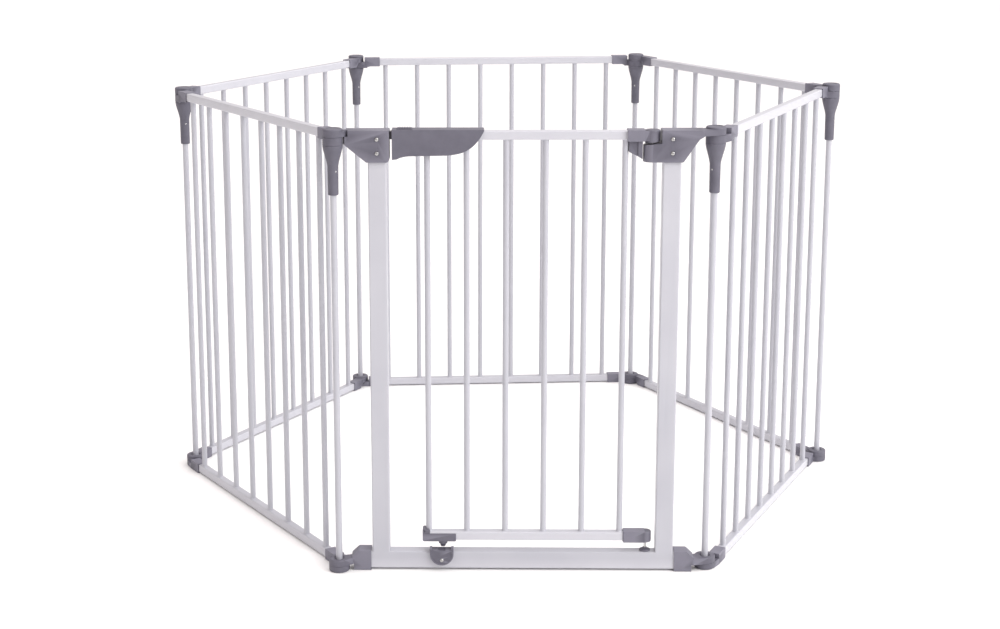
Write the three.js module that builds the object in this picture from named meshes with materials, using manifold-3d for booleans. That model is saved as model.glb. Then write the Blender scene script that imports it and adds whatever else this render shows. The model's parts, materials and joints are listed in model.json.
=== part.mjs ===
// A six-sided metal playpen: one gate module and five fence panels, hinged in a ring on six corner poles.
// Millimetres, +Z up. The gate faces -Y, and the origin is the middle of the footprint, on the floor.
import * as THREE from "three";
import { mergeVertices } from "three/addons/utils/BufferGeometryUtils.js";
import Module from "manifold-3d";

const wasm = await Module();
wasm.setup();

// ---------- driving dimensions ----------
const SIDES = 6;
const PITCH = 620; // corner pole to corner pole
const POLE_OFFSET = 10.5; // each pole stands this far to one side of its panel's centre line
const HEIGHT = 756; // floor to the top of the hinge knuckles
const GAP = 0.3; // clearance between neighbouring pieces

const RAIL = 15; // square rail tube
const BAR_R = 5;
const POLE_R = 5.5;
const BARS = 8;
const BAR_STEP = 70;
const RAIL_END = 282; // fence rail's half length, inside its end caps
const CAP_MOUTH = 257.5; // where the end cap's open end stands on the rail
const CAP_BACK = 291;
const CAP_WALL = 1.5;
const CAP = RAIL + 2 * (GAP + CAP_WALL); // outer size of the square end cap
const TOP_RAIL_Z = 735; // underside of the fence's top rail
const BOTTOM_RAIL_Z = CAP_WALL + GAP;

// Knuckles stack in pairs, at the top and at the bottom of each pole.
const KNUCKLE_R = { top: 16.5, bottom: 17.4 };
const KNUCKLES = {
  top: { upper: [742.4, HEIGHT], lower: [728.8, 742.1] },
  bottom: { upper: [10.6, 21], lower: [0, 10.3] },
};
const KNUCKLE_FLOOR = 2; // closed end of the outermost knuckles' bores
const KNUCKLE_ROOF = 4;

const SLEEVE_BOTTOM = 646.5;
const SLEEVE_NECK = 694; // where the cone becomes a straight sleeve
const SLEEVE_R = 8.7;

// Gate frame: two posts standing on a sill.
const TUBE_WIDE = 30;
const TUBE_DEEP = 22;
const POST_X = 238.3; // centre line of a post
const SILL_Z = 3;
const SILL_TOP = SILL_Z + TUBE_WIDE;
const SILL_END = 272;
const SHOE_MOUTH = 255.5; // open end of the sill's corner shoes
const SHOE_BACK = 286;
const POST_TOP = 746;
const BRACKET_HALF = 15.2; // half the thickness of the gate's top brackets
const BRACKET_TOP = 752.5;
const BRACKET_FOOT = 700.3;
const BRACKET_WALL = 2;
const SCREW_Z = [738, 715];

// Door: two rails and six bars, with plastic fittings on the rail ends.
const DOOR_BARS = 6;
const DOOR_BAR_STEP = 64.2;
const DOOR_MID = 2.8;
const DOOR_TOP_Z = 736;
const DOOR_FOOT_Z = 52;
const HINGE_X = 207;
const HINGE_R = 12.4;
const SEAT_R = BRACKET_HALF;
const SEAT_Z = 730.7; // top of the seat that carries the door's hinge knuckle
const HINGE_PIN_R = 3;
const PIVOT_PIN_R = 2.1;
const HANDLE_LEFT = -214;
const HANDLE_HALF = 13.5;
const HANDLE_TOP = 753.5;
const LOCK_TRAVEL = 8;
const LATCH_X = -134; // lower latch plunger

// Facets round a full turn, by size.
const FINE = 24;
const COARSE = 12;

// ---------- materials ----------
const paint = new THREE.MeshStandardMaterial({ color: 0xdcdce6, roughness: 0.4, metalness: 0.1 });
const plastic = new THREE.MeshStandardMaterial({ color: 0x7e7b88, roughness: 0.55, metalness: 0 });
const darkPlastic = new THREE.MeshStandardMaterial({ color: 0x3c3a42, roughness: 0.5, metalness: 0 });
const steel = new THREE.MeshStandardMaterial({ color: 0xc8c9cc, roughness: 0.3, metalness: 1 });

// ---------- solid helpers ----------
function solid(geometry) {
  const bare = geometry.index ? geometry.toNonIndexed() : geometry.clone();
  bare.deleteAttribute("normal");
  bare.deleteAttribute("uv");
  const merged = mergeVertices(bare, 1e-4);
  return new wasm.Manifold(
    new wasm.Mesh({
      numProp: 3,
      vertProperties: new Float32Array(merged.attributes.position.array),
      triVerts: new Uint32Array(merged.index.array),
    }),
  );
}

function box(x0, x1, y0, y1, z0, z1) {
  const geometry = new THREE.BoxGeometry(x1 - x0, y1 - y0, z1 - z0);
  geometry.translate((x0 + x1) / 2, (y0 + y1) / 2, (z0 + z1) / 2);
  return solid(geometry);
}

function disc(x, y, radius, z0, z1, facets = FINE) {
  const geometry = new THREE.CylinderGeometry(radius, radius, z1 - z0, facets);
  geometry.rotateX(Math.PI / 2);
  geometry.translate(x, y, (z0 + z1) / 2);
  return solid(geometry);
}

// A cylinder lying along Y, such as a screw through a front face.
function spigot(x, z, radius, y0, y1, facets = COARSE) {
  const geometry = new THREE.CylinderGeometry(radius, radius, y1 - y0, facets);
  geometry.translate(x, (y0 + y1) / 2, z);
  return solid(geometry);
}

// A solid of revolution about a vertical axis, from [radius, z] points.
function turned(x, y, profile, facets = FINE) {
  const points = profile.map(([r, z]) => new THREE.Vector2(r, z));
  const geometry = new THREE.LatheGeometry(points, facets);
  geometry.rotateX(Math.PI / 2);
  geometry.translate(x, y, 0);
  return solid(geometry);
}

// A front-view outline in X and Z, given thickness from y0 to y1.
function slab(shape, y0, y1, curveSegments = 6) {
  const geometry = new THREE.ExtrudeGeometry(shape, { depth: y1 - y0, bevelEnabled: false, curveSegments });
  geometry.rotateX(Math.PI / 2);
  geometry.translate(0, y1, 0);
  return solid(geometry);
}

// A plan-view outline in X and Y, given height from z0 to z1.
function plate(shape, z0, z1, curveSegments = 6) {
  const geometry = new THREE.ExtrudeGeometry(shape, { depth: z1 - z0, bevelEnabled: false, curveSegments });
  geometry.translate(0, 0, z0);
  return solid(geometry);
}

function outline(points) {
  return new THREE.Shape(points.map(([u, v]) => new THREE.Vector2(u, v)));
}

function piece(name, body, material) {
  const mesh = body.getMesh();
  const geometry = new THREE.BufferGeometry();
  geometry.setAttribute("position", new THREE.BufferAttribute(new Float32Array(mesh.vertProperties), 3));
  geometry.setIndex(new THREE.BufferAttribute(new Uint32Array(mesh.triVerts), 1));
  geometry.computeVertexNormals();
  const node = new THREE.Mesh(geometry, material);
  node.name = name;
  return node;
}

// ---------- the ring ----------
// A module's own frame: X along its centre line, counter-clockwise round the ring, Y inwards, Z up.
// Gate-type modules have the start pole outside and the end pole inside; the others are mirrored.
const POLE_X = Math.sqrt((PITCH / 2) ** 2 - POLE_OFFSET ** 2);
const TILT = Math.asin(POLE_OFFSET / (PITCH / 2));
const APOTHEM = (PITCH / 2) / Math.tan(Math.PI / SIDES);

const MODULES = [
  { name: "gate", hand: "upper" },
  { name: "front_right", hand: "lower" },
  { name: "back_right", hand: "upper" },
  { name: "back", hand: "lower" },
  { name: "back_left", hand: "upper" },
  { name: "front_left", hand: "lower" },
];

// +1 where the pole stands on the inner side of the module's centre line, -1 where it stands outside.
function poleSide(hand, end) {
  const endSide = hand === "upper" ? 1 : -1;
  return end === "end" ? endSide : -endSide;
}

function moduleGroup(index) {
  const group = new THREE.Group();
  const angle = (index * 2 * Math.PI) / SIDES;
  const tilt = MODULES[index].hand === "upper" ? -TILT : TILT;
  group.position.set(APOTHEM * Math.sin(angle), -APOTHEM * Math.cos(angle), 0);
  group.rotation.z = angle + tilt;
  return group;
}

// ---------- fence panel ----------
function fenceFrame() {
  const half = RAIL / 2;
  let frame = box(-RAIL_END, RAIL_END, -half, half, TOP_RAIL_Z, TOP_RAIL_Z + RAIL);
  frame = frame.add(box(-RAIL_END, RAIL_END, -half, half, BOTTOM_RAIL_Z, BOTTOM_RAIL_Z + RAIL));
  for (let i = 0; i < BARS; i++) {
    const x = (i - (BARS - 1) / 2) * BAR_STEP;
    frame = frame.add(disc(x, 0, BAR_R, BOTTOM_RAIL_Z + half, TOP_RAIL_Z + half, COARSE));
  }
  return frame;
}

function knuckle(level, hand, x, y) {
  const [z0, z1] = KNUCKLES[level][hand];
  return disc(x, y, KNUCKLE_R[level], z0, z1);
}

// Where a line from a block's edge meets the knuckle at x, y as a tangent; way is +1 for the higher Y side.
function tangent(level, x, y, [fromX, fromY], way) {
  const radius = 0.985 * KNUCKLE_R[level]; // just inside the knuckle's facets
  const spread = Math.acos(radius / Math.hypot(fromX - x, fromY - y));
  const angle = Math.atan2(fromY - y, fromX - x) + way * Math.sign(fromX - x) * spread;
  return [x + radius * Math.cos(angle), y + radius * Math.sin(angle)];
}

// The pole's hole, closed at the floor and at the very top.
function bore(level, hand, x, y) {
  const [z0, z1] = KNUCKLES[level][hand];
  const closedBelow = level === "bottom" && hand === "lower";
  const closedAbove = level === "top" && hand === "upper";
  const from = closedBelow ? z0 + KNUCKLE_FLOOR - GAP : z0 - 1;
  const to = closedAbove ? z1 - KNUCKLE_ROOF + GAP : z1 + 1;
  return disc(x, y, POLE_R + GAP, from, to, COARSE);
}

// An end cap on a fence rail, with the arm and knuckle that turn on the pole. Built for the +X end.
function endCap(level, hand, side) {
  const railZ = level === "top" ? TOP_RAIL_Z : BOTTOM_RAIL_Z;
  const z0 = railZ - GAP - CAP_WALL;
  const half = CAP / 2;
  const [k0, k1] = KNUCKLES[level][hand];
  const armLow = hand === "upper" ? k0 : Math.min(k0 + 1, z0);
  const armHigh = Math.min(k1, z0 + CAP);
  const y = side * POLE_OFFSET;
  const [edgeA, edgeB] = [-half, half].map((edgeY) => [CAP_BACK + 0.5, edgeY]);
  const arm = outline([
    [CAP_BACK - 6, -half],
    edgeA,
    tangent(level, POLE_X, y, edgeA, -1),
    tangent(level, POLE_X, y, edgeB, 1),
    edgeB,
    [CAP_BACK - 6, half],
  ]);
  const pocket = RAIL / 2 + GAP;
  return box(CAP_MOUTH, CAP_BACK, -half, half, z0, z0 + CAP)
    .add(plate(arm, armLow, armHigh))
    .add(knuckle(level, hand, POLE_X, y))
    .subtract(box(CAP_MOUTH - 1, RAIL_END + GAP, -pocket, pocket, railZ - GAP, railZ + RAIL + GAP))
    .subtract(bore(level, hand, POLE_X, y));
}

function fencePanel(index) {
  const { name, hand } = MODULES[index];
  const group = moduleGroup(index);
  group.add(piece(`${name}_fence`, fenceFrame(), paint));
  for (const level of ["top", "bottom"]) {
    for (const end of ["start", "end"]) {
      const cap = piece(
        `${name}_cap_${level}_${end}`,
        endCap(level, hand, end === "end" ? poleSide(hand, end) : -poleSide(hand, end)),
        plastic,
      );
      if (end === "start") cap.rotation.z = Math.PI;
      group.add(cap);
    }
  }
  return group;
}

// ---------- corner poles and locking sleeves ----------
const CORNERS = ["front_right", "right", "back_right", "back_left", "left", "front_left"];

function cornerPole() {
  return disc(0, 0, POLE_R, KNUCKLE_FLOOR, HEIGHT - KNUCKLE_ROOF, COARSE);
}

// A cone under the lower top knuckle that narrows to a grip round the pole.
function lockSleeve() {
  const top = KNUCKLES.top.lower[0] - GAP;
  const inner = POLE_R + GAP;
  return turned(0, 0, [
    [inner, SLEEVE_BOTTOM],
    [SLEEVE_R - 1.2, SLEEVE_BOTTOM],
    [SLEEVE_R, SLEEVE_BOTTOM + 1.5],
    [SLEEVE_R + 0.5, SLEEVE_NECK],
    [SLEEVE_R + 2.4, SLEEVE_NECK + 13],
    [KNUCKLE_R.top - 1.4, top - 7],
    [KNUCKLE_R.top, top],
    [inner, top],
    [inner, SLEEVE_BOTTOM],
  ]);
}

function corner(index) {
  const angle = ((index + 0.5) * 2 * Math.PI) / SIDES;
  const group = new THREE.Group();
  group.position.set(PITCH * Math.sin(angle), -PITCH * Math.cos(angle), 0);
  group.add(piece(`pole_${CORNERS[index]}`, cornerPole(), paint));
  group.add(piece(`lock_sleeve_${CORNERS[index]}`, lockSleeve(), plastic));
  return group;
}

// ---------- gate frame ----------
function gateFrame() {
  const half = TUBE_DEEP / 2;
  let frame = box(-SILL_END, SILL_END, -half, half, SILL_Z, SILL_TOP);
  for (const side of [-1, 1]) {
    const x = side * POST_X;
    frame = frame.add(box(x - TUBE_WIDE / 2, x + TUBE_WIDE / 2, -half, half, SILL_TOP - 1, POST_TOP));
    for (const z of SCREW_Z) frame = frame.subtract(spigot(x, z, 2 + GAP, -half - 1, -1));
  }
  const pivotHole = disc(HINGE_X, 0, PIVOT_PIN_R + GAP, SILL_TOP - 12, SILL_TOP + 1, COARSE);
  const keeperHole = spigot(KEEPER_X, KEEPER_SCREW_Z, 2 + GAP, -half - 1, -1);
  return frame.subtract(pivotHole).subtract(keeperHole);
}

// A top bracket's post pocket and screw holes, cut from below. side is -1 for the left post.
function postPocket(side) {
  const x = side * POST_X;
  const wide = TUBE_WIDE / 2 + GAP;
  const deep = TUBE_DEEP / 2 + GAP;
  let cut = box(x - wide, x + wide, -deep, deep, BRACKET_FOOT - 1, POST_TOP + GAP);
  for (const z of SCREW_Z) cut = cut.add(spigot(x, z, 2 + GAP, -BRACKET_HALF - 1, -deep + 1));
  return cut;
}

// The arm from a gate bracket to its upper knuckle, tangent to the knuckle at the front.
// side is -1 at the start pole, +1 at the end pole.
function gateArm(level, side, fromX, frontY, z0, z1) {
  const x = side * POLE_X;
  const y = side * POLE_OFFSET;
  const root = [side * fromX, frontY];
  const arm = outline([
    root,
    tangent(level, x, y, root, -1),
    [x, y + 9],
    [side * fromX, 9 + 3 * side],
  ]);
  return plate(arm, z0, z1);
}

function gateKnuckle(level, side) {
  return knuckle(level, "upper", side * POLE_X, side * POLE_OFFSET);
}

function gateBore(level, side) {
  return bore(level, "upper", side * POLE_X, side * POLE_OFFSET);
}

const BRACKET_OUTER_X = POST_X + TUBE_WIDE / 2 + GAP + BRACKET_WALL;

// Front view: square over the post, then a slanted web up to the arm. The web's end is cut back round
// the knuckle, and notched at the front where the arm leaves it.
function bracketTopLeft() {
  const inner = HANDLE_LEFT - 4.3;
  const radius = 4;
  const shape = new THREE.Shape();
  shape.moveTo(-BRACKET_OUTER_X, BRACKET_FOOT);
  shape.lineTo(inner - radius, BRACKET_FOOT);
  shape.absarc(inner - radius, BRACKET_FOOT + radius, radius, -Math.PI / 2, 0, false);
  shape.lineTo(inner, BRACKET_TOP);
  const end = -CAP_BACK + 1;
  shape.lineTo(end, BRACKET_TOP);
  shape.lineTo(end, 728);
  const armZ = KNUCKLES.top.upper[0];
  const flank = outline([
    [end + 2, -BRACKET_HALF],
    [end, -BRACKET_HALF],
    [end - 3.2, -6.5],
    [end - 3.2, 4],
    [end + 2, 4],
  ]);
  return slab(shape, -BRACKET_HALF, BRACKET_HALF)
    .add(plate(flank, 729.5, BRACKET_TOP))
    .subtract(box(end - 4, end + 5, -BRACKET_HALF - 1, -9, armZ, BRACKET_TOP + 1))
    .add(gateArm("top", -1, CAP_BACK - 5, -9, armZ, BRACKET_TOP - 0.8))
    .add(gateKnuckle("top", -1))
    .subtract(postPocket(-1))
    .subtract(gateBore("top", -1));
}

// The right bracket also carries the seat of the door's hinge, a round boss under the knuckle.
function bracketTopRight() {
  const slot = HINGE_X + 14;
  const web = new THREE.Shape();
  web.moveTo(HINGE_X, BRACKET_FOOT);
  web.lineTo(BRACKET_OUTER_X, BRACKET_FOOT);
  web.lineTo(283, 741);
  web.lineTo(CAP_BACK - 2, 742.5);
  web.lineTo(CAP_BACK - 2, BRACKET_TOP);
  web.lineTo(slot, BRACKET_TOP);
  web.lineTo(slot, SEAT_Z);
  web.lineTo(HINGE_X, SEAT_Z);
  return slab(web, -BRACKET_HALF, BRACKET_HALF)
    .add(disc(HINGE_X, 0, SEAT_R, BRACKET_FOOT, SEAT_Z))
    .add(gateArm("top", 1, CAP_BACK - 6, -BRACKET_HALF, KNUCKLES.top.upper[0], BRACKET_TOP))
    .add(gateKnuckle("top", 1))
    .subtract(postPocket(1))
    .subtract(disc(HINGE_X, 0, HINGE_PIN_R + GAP, 712, 740, COARSE))
    .subtract(gateBore("top", 1));
}

// A shoe over the sill's end, with a sloped arm to the bottom upper knuckle.
function bracketBottom(side) {
  const top = SILL_TOP + GAP + 1.2;
  const half = TUBE_DEEP / 2 + GAP + 1.7;
  const [k0, k1] = KNUCKLES.bottom.upper;
  const block = outline([
    [side * SHOE_MOUTH, 0],
    [side * (SHOE_BACK - 1), 0],
    [side * (SHOE_BACK - 1), k0],
    [side * (SHOE_BACK + 3), k0],
    [side * (SHOE_BACK + 3), k1 + 2],
    [side * (SHOE_BACK - 9), top],
    [side * SHOE_MOUTH, top],
  ]);
  const cut = box(-SILL_END - GAP, SILL_END + GAP, 1.7 - half, half - 1.7, SILL_Z - GAP, SILL_TOP + GAP);
  return slab(block, -half, half)
    .add(gateArm("bottom", side, SHOE_BACK, -half, k0, k1))
    .add(gateKnuckle("bottom", side))
    .subtract(cut)
    .subtract(gateBore("bottom", side));
}

function screw(x, z, faceY) {
  return spigot(x, z, 3.3, faceY - 2, faceY - GAP).add(spigot(x, z, 2, faceY - 1, -2));
}

// ---------- lower latch keeper and door pivot ----------
const KEEPER_X = -136.2;
const KEEPER_SCREW_Z = 19.2;
const KEEPER_R = 20;
const KEEPER_TOP = 38.5;
const KEEPER_FRONT = -17;

// A half-round plate on the sill's face, with a lip over its top edge and an ear at each end.
function latchKeeper() {
  const face = new THREE.Shape();
  face.moveTo(KEEPER_X - KEEPER_R, KEEPER_TOP);
  face.lineTo(KEEPER_X - KEEPER_R, 30.2);
  face.absarc(KEEPER_X, 30.2, KEEPER_R, Math.PI, 2 * Math.PI, false);
  face.lineTo(KEEPER_X + KEEPER_R, KEEPER_TOP);
  const back = -TUBE_DEEP / 2 - GAP;
  let keeper = slab(face, KEEPER_FRONT, back, COARSE).add(
    box(KEEPER_X - KEEPER_R, KEEPER_X + KEEPER_R, back - 1, -4, SILL_TOP + GAP, KEEPER_TOP),
  );
  for (const side of [-1, 1]) {
    const x = KEEPER_X + side * (KEEPER_R - 1.75);
    keeper = keeper.add(box(x - 1.75, x + 1.75, KEEPER_FRONT, -8, KEEPER_TOP - 1, KEEPER_TOP + 3));
  }
  return keeper.subtract(spigot(KEEPER_X, KEEPER_SCREW_Z, 2 + GAP, KEEPER_FRONT - 1, back + 1));
}

function pivotCup() {
  const inner = PIVOT_PIN_R + GAP;
  const base = SILL_TOP + GAP;
  return turned(HINGE_X, 0, [
    [inner, base],
    [9.2, base],
    [9.2, base + 2],
    [4.4, base + 4],
    [3.4, base + 8],
    [inner, base + 8],
    [inner, base],
  ]);
}

// ---------- door ----------
function doorBarX(i) {
  return DOOR_MID + (i - (DOOR_BARS - 1) / 2) * DOOR_BAR_STEP;
}

const DOOR_RAIL_LEFT = -190;
const DOOR_FOOT_LEFT = -165.5;
const CAP_RAIL_END = 188;
const PIVOT_RAIL_END = 196;

function doorPanel() {
  const half = RAIL / 2;
  let door = box(DOOR_RAIL_LEFT, CAP_RAIL_END, -half, half, DOOR_TOP_Z, DOOR_TOP_Z + RAIL);
  door = door.add(box(DOOR_FOOT_LEFT, PIVOT_RAIL_END, -half, half, DOOR_FOOT_Z, DOOR_FOOT_Z + RAIL));
  for (let i = 0; i < DOOR_BARS; i++) {
    door = door.add(disc(doorBarX(i), 0, BAR_R, DOOR_FOOT_Z + half, DOOR_TOP_Z + half, COARSE));
  }
  return door.subtract(disc(LATCH_X, 0, 3 + GAP, DOOR_FOOT_Z - 1, DOOR_FOOT_Z + 8, COARSE));
}

// The cutting solid for a rail's pocket in a door fitting.
function railPocket(x0, x1, railZ) {
  const half = RAIL / 2 + GAP;
  return box(x0, x1, -half, half, railZ - GAP, railZ + RAIL + GAP);
}

// A long grip over the latch end of the top rail, deep at the post and swept up to a tip.
function doorHandle() {
  const shape = new THREE.Shape();
  shape.moveTo(HANDLE_LEFT, HANDLE_TOP);
  shape.lineTo(HANDLE_LEFT, 704.4);
  shape.lineTo(-205, 705);
  shape.quadraticCurveTo(-198, 710.5, -180, 711);
  shape.lineTo(-127, 711.4);
  shape.quadraticCurveTo(-112, 712.5, -102, 715.4);
  shape.quadraticCurveTo(-80, 723, -65, 752);
  shape.lineTo(-66, HANDLE_TOP);
  const bolt = box(HANDLE_LEFT - 1, DOOR_RAIL_LEFT, -6 - GAP, 6 + GAP, 737 - GAP, 750 + GAP);
  const stem = box(-206.8, -200.7 + LOCK_TRAVEL, -3 - GAP, 3 + GAP, 745, HANDLE_TOP + 1);
  let handle = slab(shape, -HANDLE_HALF, HANDLE_HALF, 8)
    .subtract(railPocket(DOOR_RAIL_LEFT - GAP, 0, DOOR_TOP_Z))
    .subtract(bolt)
    .subtract(stem);
  for (const i of [0, 1]) {
    handle = handle.subtract(disc(doorBarX(i), 0, BAR_R + GAP, 700, DOOR_TOP_Z + 1, COARSE));
  }
  return handle;
}

// The thumb slide on the handle, and the bolt that it draws back.
function lockSlide() {
  return box(-207, -180.5, -7, 7, HANDLE_TOP + GAP, HEIGHT).add(box(-206.5, -201, -3, 3, 747, HANDLE_TOP + 1));
}

function latchBolt() {
  const slot = box(-206.8, -200.7, -3 - GAP, 3 + GAP, 746.7, 751);
  return box(-217.7, -199, -6, 6, 737, 750).subtract(slot);
}

// The cap on the hinge end of the top rail, with the knuckle that rides on the seat.
function hingeCap() {
  const bottom = 734;
  const top = 752.2;
  const web = box(184, HINGE_X, -HINGE_R, HINGE_R, bottom, top);
  return box(166, 192, -12.5, 12.5, bottom, top)
    .add(web)
    .add(disc(HINGE_X, 0, HINGE_R, SEAT_Z + GAP, top))
    .subtract(railPocket(165, CAP_RAIL_END + GAP, DOOR_TOP_Z))
    .subtract(disc(doorBarX(DOOR_BARS - 1), 0, BAR_R + GAP, bottom - 1, DOOR_TOP_Z, COARSE))
    .subtract(disc(HINGE_X, 0, HINGE_PIN_R + GAP, SEAT_Z, 746, COARSE));
}

// A plate hanging under the cap that closes the gap beside the hinge seat.
function hingeGuard() {
  const shape = outline([
    [168.7, 716],
    [181.5, 709.5],
    [190.5, 704.3],
    [190.5, 734 - GAP],
    [168.7, 734 - GAP],
  ]);
  return slab(shape, -6, 6).add(box(183, 190.5, -8, 8, 708.5, 734 - GAP));
}

function pivotCap() {
  const half = 9.5;
  const z0 = 49.5;
  return box(170, HINGE_X, -half, half, z0, z0 + 19)
    .add(disc(HINGE_X, 0, 10, z0 + 1, z0 + 18))
    .subtract(railPocket(169, PIVOT_RAIL_END + GAP, DOOR_FOOT_Z))
    .subtract(disc(HINGE_X, 0, PIVOT_PIN_R + GAP, z0 - 1, z0 + 13, COARSE));
}

// A channel under the latch end of the bottom rail, with a short leg beside the first bar.
function latchCap() {
  const half = CAP / 2;
  const z0 = DOOR_FOOT_Z - GAP - CAP_WALL;
  const left = DOOR_FOOT_LEFT - 3;
  return box(left, -112, -half, half, z0, z0 + 13.3)
    .add(box(left, -156, -half, half, z0, DOOR_FOOT_Z + RAIL + 4.5))
    .subtract(railPocket(DOOR_FOOT_LEFT - GAP, -100, DOOR_FOOT_Z))
    .subtract(disc(doorBarX(0), 0, BAR_R + GAP, DOOR_FOOT_Z + RAIL - 2, 80, COARSE))
    .subtract(disc(LATCH_X, 0, 3 + GAP, z0 - 1, z0 + 3, COARSE));
}

function latchPlunger() {
  const top = DOOR_FOOT_Z - GAP - CAP_WALL - GAP;
  const tip = KEEPER_TOP + 0.8;
  return turned(LATCH_X, 0, [
    [0, tip],
    [4.4, tip],
    [5, tip + 3.4],
    [7.3, tip + 6],
    [7.5, top],
    [3, top],
    [3, DOOR_FOOT_Z + 6],
    [0, DOOR_FOOT_Z + 6],
  ], COARSE);
}

function gate() {
  const group = moduleGroup(0);
  const add = (name, body, material) => group.add(piece(name, body, material));
  add("gate_frame", gateFrame(), paint);
  add("gate_bracket_top_left", bracketTopLeft(), plastic);
  add("gate_bracket_top_right", bracketTopRight(), plastic);
  add("gate_shoe_left", bracketBottom(-1), plastic);
  add("gate_shoe_right", bracketBottom(1), plastic);
  for (const [side, label] of [[-1, "left"], [1, "right"]]) {
    SCREW_Z.forEach((z, i) => {
      add(`bracket_screw_${label}_${i + 1}`, screw(side * POST_X, z, -BRACKET_HALF), steel);
    });
  }
  add("latch_keeper", latchKeeper(), plastic);
  add("keeper_screw", screw(KEEPER_X, KEEPER_SCREW_Z, KEEPER_FRONT), steel);
  add("pivot_cup", pivotCup(), darkPlastic);
  add("pivot_pin", disc(HINGE_X, 0, PIVOT_PIN_R, SILL_TOP - 8, 61, COARSE), steel);
  add("hinge_pin", disc(HINGE_X, 0, HINGE_PIN_R, 714, 745, COARSE), steel);
  add("door_panel", doorPanel(), paint);
  add("door_handle", doorHandle(), plastic);
  add("lock_slide", lockSlide(), plastic);
  add("latch_bolt", latchBolt(), darkPlastic);
  add("door_hinge_cap", hingeCap(), plastic);
  add("hinge_guard", hingeGuard(), plastic);
  add("door_pivot_cap", pivotCap(), plastic);
  add("door_latch_cap", latchCap(), plastic);
  add("latch_plunger", latchPlunger(), darkPlastic);
  return group;
}

// ---------- the playpen ----------
const playpen = new THREE.Group();
playpen.add(gate());
for (let i = 1; i < SIDES; i++) playpen.add(fencePanel(i));
for (let i = 0; i < SIDES; i++) playpen.add(corner(i));

// Move the origin to the middle of the footprint.
playpen.updateMatrixWorld(true);
const middle = new THREE.Box3().setFromObject(playpen, true).getCenter(new THREE.Vector3());
playpen.position.set(-middle.x, -middle.y, 0);

export default playpen;
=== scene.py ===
import json
import math

import bmesh
import bpy
from mathutils import Matrix, Vector


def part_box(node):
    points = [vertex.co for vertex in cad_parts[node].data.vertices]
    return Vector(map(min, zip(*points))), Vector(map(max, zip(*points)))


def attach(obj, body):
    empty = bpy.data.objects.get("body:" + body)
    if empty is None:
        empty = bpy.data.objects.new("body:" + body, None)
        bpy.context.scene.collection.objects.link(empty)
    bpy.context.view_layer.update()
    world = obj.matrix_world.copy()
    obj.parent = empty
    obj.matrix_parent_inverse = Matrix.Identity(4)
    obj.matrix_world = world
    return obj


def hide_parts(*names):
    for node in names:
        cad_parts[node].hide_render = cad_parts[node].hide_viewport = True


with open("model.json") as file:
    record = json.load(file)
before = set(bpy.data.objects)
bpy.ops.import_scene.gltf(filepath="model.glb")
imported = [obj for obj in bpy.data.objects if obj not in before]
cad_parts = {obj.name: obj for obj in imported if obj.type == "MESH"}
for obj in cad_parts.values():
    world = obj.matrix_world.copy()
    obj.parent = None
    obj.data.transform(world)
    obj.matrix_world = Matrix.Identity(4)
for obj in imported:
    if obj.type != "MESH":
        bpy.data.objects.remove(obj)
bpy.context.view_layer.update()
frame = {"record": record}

# Shapes are built in millimetres and placed in metres.
MM = 0.001

# ---------- the frame's own dimensions ----------
FEET = {m["name"][5:]: Vector(m["pos_m"]) for m in frame["record"]["mounts"]}
PITCH = (FEET["front_right"] - FEET["front_left"]).length / MM
POLE_OFFSET = 10.5  # from a pole's axis to its panel's centre line
TILT = math.asin(2 * POLE_OFFSET / PITCH)
POLE_X = math.sqrt((PITCH / 2) ** 2 - POLE_OFFSET**2)


def low(node):
    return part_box(node)[0] / MM


def high(node):
    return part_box(node)[1] / MM


HEIGHT = high("back_right_cap_top_end").z
KNUCKLE_R = {
    "top": (high("lock_sleeve_right").x - low("lock_sleeve_right").x) / 2,
    "bottom": 17.4,
}
POLE_R = (high("pole_right").x - low("pole_right").x) / 2
SLEEVE_BOTTOM = low("lock_sleeve_right").z
SLEEVE_TOP = high("lock_sleeve_right").z
LOWER_TOP = (low("front_right_cap_top_end").z, 742.1)  # the lower top knuckle's height range
UPPER_TOP = (742.4, HEIGHT)
LOWER_FOOT = (0, 10.3)
UPPER_FOOT = (10.6, high("back_right_cap_bottom_end").z)
TOP_RAIL = (high("back_fence").z - 15, high("back_fence").z)
FOOT_RAIL = (low("back_fence").z, low("back_fence").z + 15)
RAIL_HALF = 7.5
RAIL_END = 282
SILL_END = 272
BAR_R = 5
BARS = 8
BAR_STEP = 70
FIT = 0.3  # the clearance round a tube in its plastic fitting
CAP_WALL = 1.8
CAP_MOUTH = POLE_X - 257.5  # along the panel, from the pole's axis
CAP_BACK = POLE_X - 291

POST_X = 238.3
POST_HALF = 15
POST_DEEP = 11
POST_TOP = 746
SILL = (low("gate_frame").z, low("gate_frame").z + 30)
BRACKET_HALF = 15.2
BRACKET_OUTER = POST_X + POST_HALF + 2.3
BRACKET_FOOT = low("gate_bracket_top_left").z
BRACKET_TOP = 752.5
SCREW_Z = (738, 715)
SCREW_DEPTH = 0.8
HINGE_X = 207
HINGE_R = 12.4
DOOR_TOP = (high("door_panel").z - 15, high("door_panel").z)
DOOR_FOOT = (low("door_panel").z, low("door_panel").z + 15)
DOOR_BAR_X = [2.8 + (i - 2.5) * 64.2 for i in range(6)]
LATCH_X = -134
LATCH_CAP_FOOT = 50.2
KEEPER_X = -136.2
KEEPER_FACE = -16.2
KEEPER_SCREW_Z = 19.2

CORNERS = ["front_right", "right", "back_right", "back_left", "left", "front_left"]
# Each module runs counter-clockwise from its start pole to its end pole.
MODULES = {
    "gate": ("front_left", "front_right", "upper"),
    "front_right": ("front_right", "right", "lower"),
    "back_right": ("right", "back_right", "upper"),
    "back": ("back_right", "back_left", "lower"),
    "back_left": ("back_left", "left", "upper"),
    "front_left": ("left", "front_left", "lower"),
}


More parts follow.
